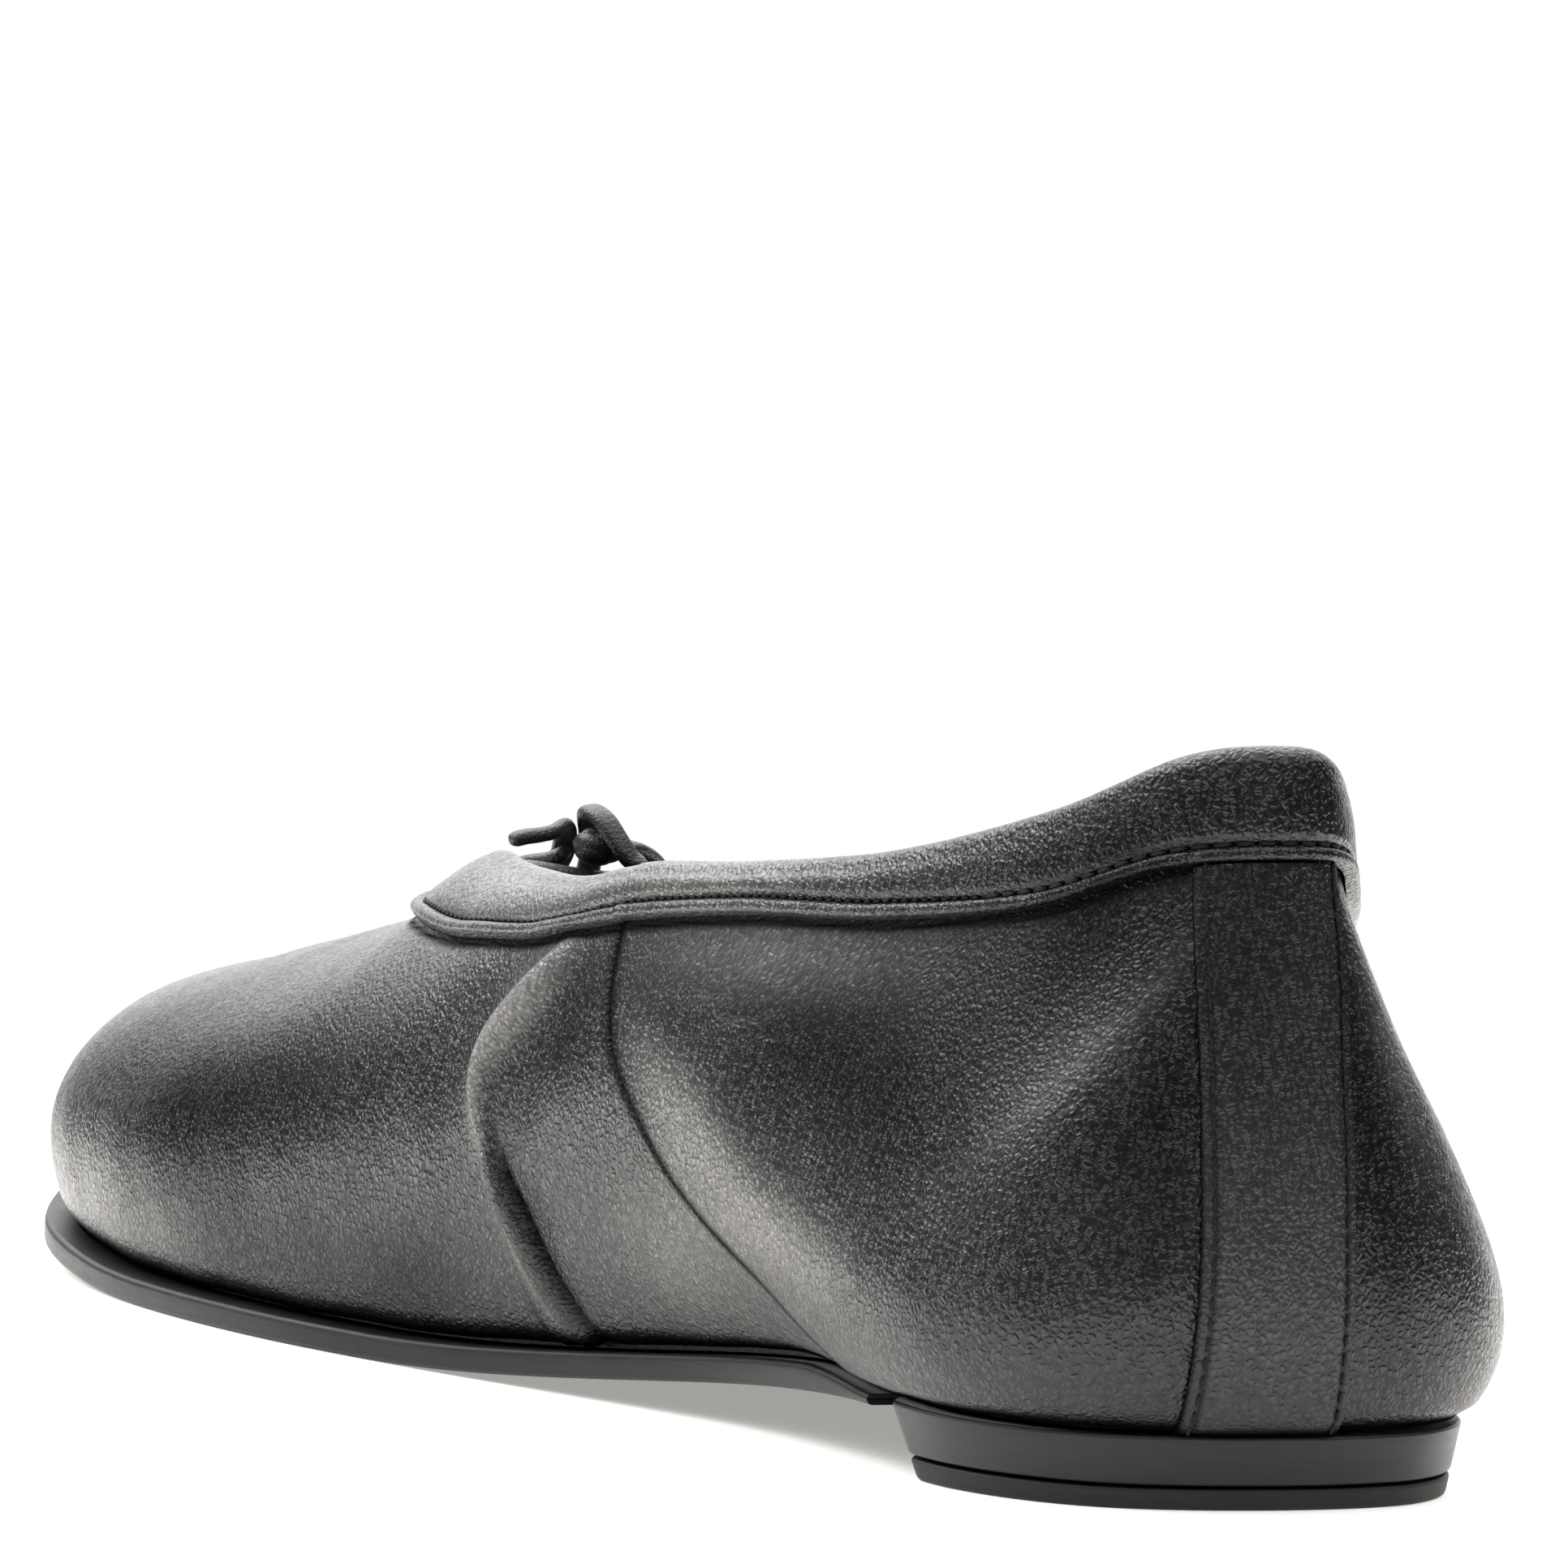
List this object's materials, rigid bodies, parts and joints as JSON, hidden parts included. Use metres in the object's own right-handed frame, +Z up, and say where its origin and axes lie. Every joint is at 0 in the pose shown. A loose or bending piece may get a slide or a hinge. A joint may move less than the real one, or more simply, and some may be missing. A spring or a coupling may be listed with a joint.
{
  "type": "ballet flat",
  "caption": "Low soft leather ballet flat for the left foot, with a wide collar band, a small drawstring bow, a thin outsole and a low heel.",
  "frame": {"origin": "middle of the heel's flat underside, on the floor", "axes": "+Z up, +Y towards the toe, -X towards the outer side of the foot"},
  "size_m": [0.0902, 0.2532, 0.0705],
  "materials": {
    "upper_leather": "black grained leather, soft sheen",
    "band_leather": "black grained leather, soft sheen",
    "strip_leather": "black grained leather, soft sheen",
    "cord_leather": "narrow black leather lace",
    "insole": "dark smooth lining leather",
    "outsole": "black dyed sole leather, smooth edge",
    "heel": "black polished heel block",
    "top_lift": "black rubber, smooth"
  },
  "bodies": {
    "root": {"upper": "upper_leather", "collar_band": "band_leather", "back_strip": "strip_leather", "insole": "insole", "outsole": "outsole", "heel_block": "heel", "top_lift": "top_lift", "bow_knot": "cord_leather", "bow_lace_outer": "cord_leather", "bow_lace_inner": "cord_leather"}
  },
  "joints": []
}
